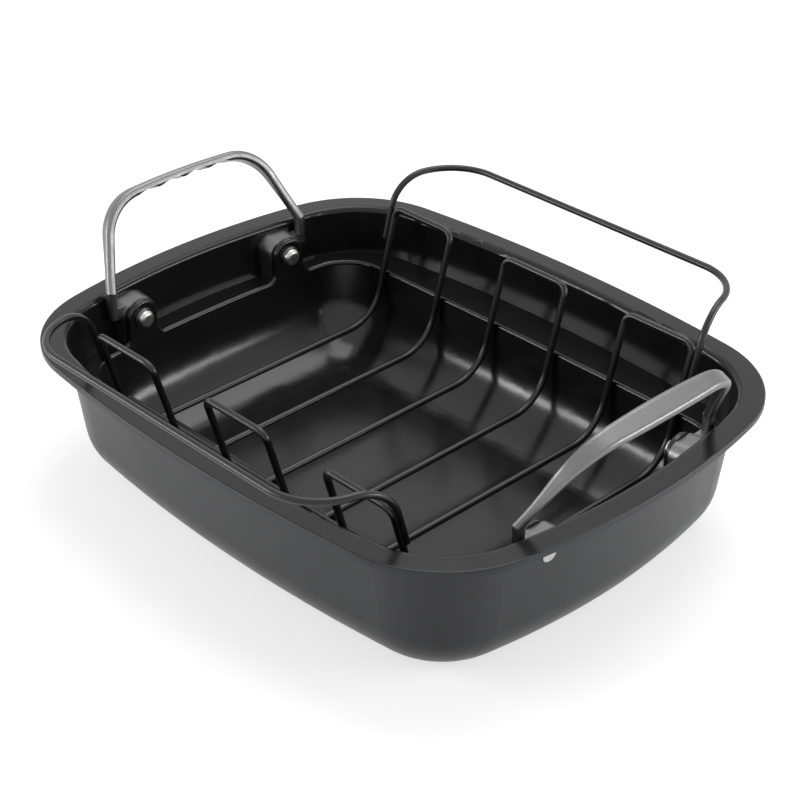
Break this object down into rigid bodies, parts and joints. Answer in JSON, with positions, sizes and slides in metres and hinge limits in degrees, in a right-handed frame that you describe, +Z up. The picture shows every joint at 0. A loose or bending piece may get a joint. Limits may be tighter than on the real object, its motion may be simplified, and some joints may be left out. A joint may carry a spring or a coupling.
{
  "type": "roasting pan with rack",
  "caption": "Deep rectangular roasting pan with rounded corners, riveted loop handles and a lift-out rack of bent wire loops with its own wire handles.",
  "frame": {"origin": "centre of the flat base, on the surface that the pan stands on", "axes": "+X along the pan towards the right handle, +Y across it towards the rear, +Z up"},
  "size_m": [0.427, 0.3676, 0.154],
  "materials": {
    "tray_outside": "satin dark grey non-stick coat",
    "tray_inside": "glossy black non-stick coat",
    "handle_metal": "tumbled satin metal",
    "rivet_metal": "plain metal",
    "washer_metal": "dark plated metal",
    "rack_wire": "glossy black non-stick coat"
  },
  "bodies": {
    "pan": {"pan_shell": "tray_outside", "pan_liner": "tray_inside", "handle_right": "handle_metal", "handle_left": "handle_metal", "rivet_right_rear": "rivet_metal", "rivet_right_front": "rivet_metal", "rivet_left_rear": "rivet_metal", "rivet_left_front": "rivet_metal", "washer_right_rear": "washer_metal", "washer_right_front": "washer_metal", "washer_left_rear": "washer_metal", "washer_left_front": "washer_metal"},
    "rack": {"rack_loop_left": "rack_wire", "rack_loop_middle": "rack_wire", "rack_loop_right": "rack_wire", "rack_handle_rear": "rack_wire", "rack_handle_front": "rack_wire", "rack_tie_low": "rack_wire", "rack_tie_side": "rack_wire"}
  },
  "joints": [
    {"name": "rack_lift", "type": "slide", "parent": "pan", "child": "rack", "axis": [0, 0, 1], "range_m": [0, 0.14]}
  ]
}
